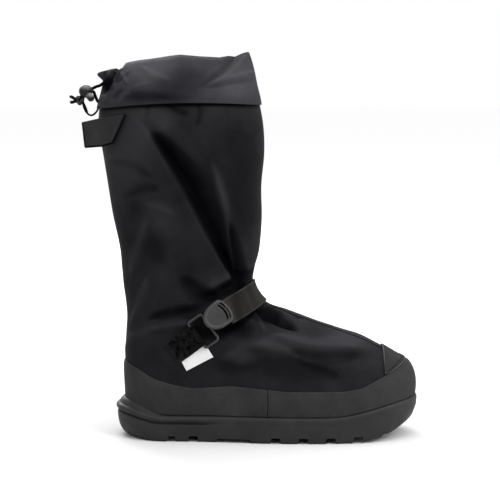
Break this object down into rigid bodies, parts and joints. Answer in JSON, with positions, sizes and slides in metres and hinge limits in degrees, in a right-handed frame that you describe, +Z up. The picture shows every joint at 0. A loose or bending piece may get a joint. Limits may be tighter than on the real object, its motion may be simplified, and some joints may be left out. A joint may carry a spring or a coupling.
{
  "type": "overshoe",
  "caption": "Tall black nylon overshoe for the right foot, with a lugged rubber cup sole, coated rand, instep strap and buckle, and a drawcord collar with a cord lock.",
  "frame": {"origin": "on the floor, under the middle of the sole's length, on the flat tread", "axes": "+X towards the toe, +Y to the wearer's left, which is the inner side of this right shoe, and +Z up"},
  "size_m": [0.3633, 0.123, 0.4009],
  "materials": {
    "sole_rubber": "satin black moulded rubber",
    "insole_board": "matte foam board",
    "nylon": "black coated nylon, slightly glossy",
    "collar_nylon": "thin blue-grey black nylon",
    "coated": "matte coated cloth",
    "cap_cloth": "rough matte weave",
    "webbing": "matte woven webbing",
    "tape": "fuzzy hook-and-loop tape",
    "moulded": "satin moulded plastic",
    "lock_plastic": "glossy moulded plastic",
    "label_cloth": "white woven tag, blank",
    "cord": "black braided cord"
  },
  "bodies": {
    "overshoe": {"outsole": "sole_rubber", "insole": "insole_board", "upper": "nylon", "collar": "collar_nylon", "rand_front": "coated", "rand_rear": "coated", "toe_cap": "cap_cloth", "instep_strap": "webbing", "anchor_strap": "tape", "buckle_plate": "moulded", "buckle_ring": "moulded", "label": "label_cloth", "pull_tab": "tape", "cord_lock_body": "lock_plastic", "drawcord_upper": "cord", "drawcord_lower": "cord", "drawcord_knot": "cord", "drawcord_tail_upper": "cord", "drawcord_tail_lower": "cord", "tether": "cord"},
    "button": {"cord_lock_button": "lock_plastic"}
  },
  "joints": [
    {"name": "lock_button_press", "type": "slide", "parent": "overshoe", "child": "button", "axis": [-0.5617, 0.4212, 0.7121], "range_m": [0, 0.004], "stiffness_N_per_m": 800}
  ]
}
